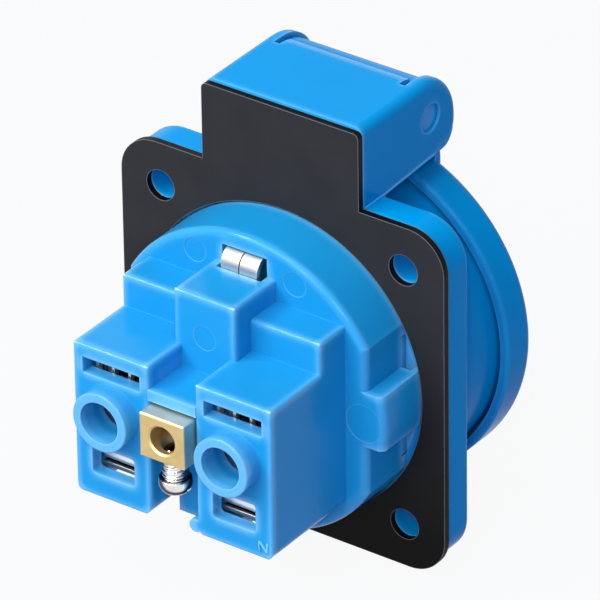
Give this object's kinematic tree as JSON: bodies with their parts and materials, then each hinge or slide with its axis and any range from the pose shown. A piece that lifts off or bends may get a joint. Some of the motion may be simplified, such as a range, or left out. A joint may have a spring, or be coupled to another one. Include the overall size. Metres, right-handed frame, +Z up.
{
  "type": "schuko panel socket",
  "caption": "Square-flanged schuko panel socket with a sprung round lid, a flat rubber gasket, screwless line and neutral terminals and a screwed brass earth terminal.",
  "frame": {"origin": "on the socket axis in the panel plane, which is the rear face of the flange gasket", "axes": "+Y along the socket axis towards the terminals behind the panel, +Z up towards the lid hinge, +X completes the right-handed frame"},
  "size_m": [0.0506, 0.0489, 0.0621],
  "materials": {
    "frame_plastic": "smooth moulded blue plastic",
    "body_plastic": "smooth moulded blue plastic",
    "gasket_rubber": "smooth black sheet rubber",
    "pin_steel": "drawn steel pin",
    "spring_steel": "bright spring steel",
    "nickel_sheet": "nickel plated sheet",
    "terminal_brass": "machined brass",
    "screw_zinc": "zinc plated steel"
  },
  "bodies": {
    "socket": {"flange_frame": "frame_plastic", "flange_gasket": "gasket_rubber", "socket_well": "body_plastic", "terminal_housing": "body_plastic", "hinge_pin": "pin_steel", "lid_spring": "spring_steel", "earth_strap": "nickel_sheet", "earth_terminal": "terminal_brass", "line_contact": "nickel_sheet", "neutral_contact": "nickel_sheet", "line_clamp_spring": "spring_steel", "neutral_clamp_spring": "spring_steel"},
    "lid": {"hinged_lid": "frame_plastic", "lid_seal": "gasket_rubber"},
    "clamp_screw": {"earth_clamp_screw": "screw_zinc"}
  },
  "joints": [
    {"name": "lid_hinge", "type": "hinge", "parent": "socket", "child": "lid", "pos_m": [0, -0.016, 0.0314], "axis": [-1, 0, 0], "range_deg": [0, 105], "stiffness_Nm_per_rad": 0.012, "springref_deg": -45.84, "deforming": ["lid_spring"]},
    {"name": "clamp_screw_travel", "type": "slide", "parent": "socket", "child": "clamp_screw", "axis": [0, 0, 1], "range_m": [0, 0.003]}
  ]
}
